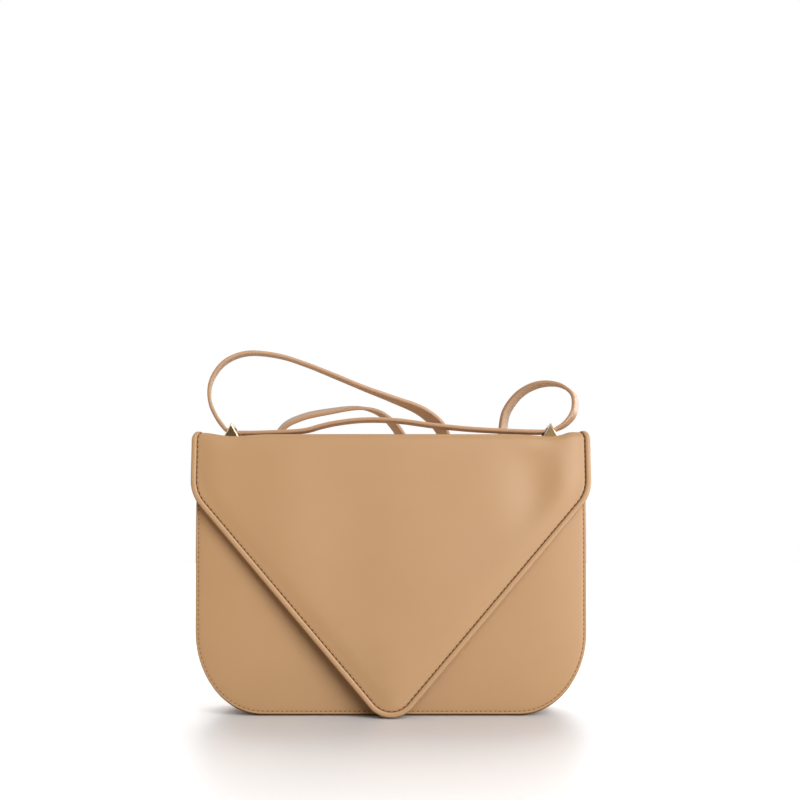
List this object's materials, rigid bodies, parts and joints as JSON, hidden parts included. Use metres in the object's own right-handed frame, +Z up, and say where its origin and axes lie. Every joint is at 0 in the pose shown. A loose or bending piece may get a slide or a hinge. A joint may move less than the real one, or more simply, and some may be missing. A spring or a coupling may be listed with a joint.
{
  "type": "envelope shoulder bag",
  "caption": "Smooth leather shoulder bag with a wedge-shaped body, a pointed envelope flap and a long flat strap threaded through stirrup rings on its top.",
  "frame": {"origin": "centre of the flat base, on the surface the bag stands on", "axes": "+Z up, -Y out of the front where the pointed flap hangs, +X to the right seen from the front"},
  "size_m": [0.26, 0.1251, 0.2383],
  "materials": {
    "leather": "smooth satin calf, camel",
    "edge_leather": "smooth satin calf, rolled edge",
    "strap_leather": "smooth satin calf",
    "lining": "matt suede lining",
    "board": "raw bonded leather board",
    "bronze": "satin pale bronze",
    "steel": "plain nickel"
  },
  "bodies": {
    "bag_body": {"front_panel": "leather", "front_board": "board", "front_lining": "lining", "front_facing": "leather", "back_panel": "leather", "back_board": "board", "back_lining": "lining", "back_facing": "leather", "gusset": "leather", "gusset_lining": "lining", "base_board": "board", "slip_pocket": "lining", "front_magnet": "steel", "flap_tail": "leather", "strap": "strap_leather", "buckle_frame": "bronze", "fixed_keeper": "strap_leather"},
    "flap_top": {"top_panel": "leather", "top_board": "board", "top_lining": "lining", "left_top_roll": "edge_leather", "right_top_roll": "edge_leather", "left_ring": "bronze", "right_ring": "bronze", "left_ring_plate": "steel", "right_ring_plate": "steel", "left_front_screw": "steel", "left_rear_screw": "steel", "right_front_screw": "steel", "right_rear_screw": "steel"},
    "flap_front": {"flap_panel": "leather", "flap_board": "board", "flap_lining": "lining", "flap_edge_roll": "edge_leather", "flap_magnet": "steel"},
    "prong": {"buckle_prong": "bronze"},
    "keeper": {"sliding_keeper": "strap_leather"}
  },
  "joints": [
    {"name": "top_lift", "type": "hinge", "parent": "bag_body", "child": "flap_top", "pos_m": [0, 0.0114, 0.1814], "axis": [-1, 0, 0], "range_deg": [0, 90], "deforming": ["strap"]},
    {"name": "front_fold", "type": "hinge", "parent": "flap_top", "child": "flap_front", "pos_m": [0, -0.0114, 0.1814], "axis": [-1, 0, 0], "range_deg": [0, 130]},
    {"name": "prong_swing", "type": "hinge", "parent": "bag_body", "child": "prong", "pos_m": [-0.005, 0.073, 0.00456], "axis": [0, -1, 0], "range_deg": [0, 100]},
    {"name": "keeper_slide", "type": "slide", "parent": "bag_body", "child": "keeper", "axis": [1, 0, 0], "range_m": [-0.012, 0.008]}
  ]
}
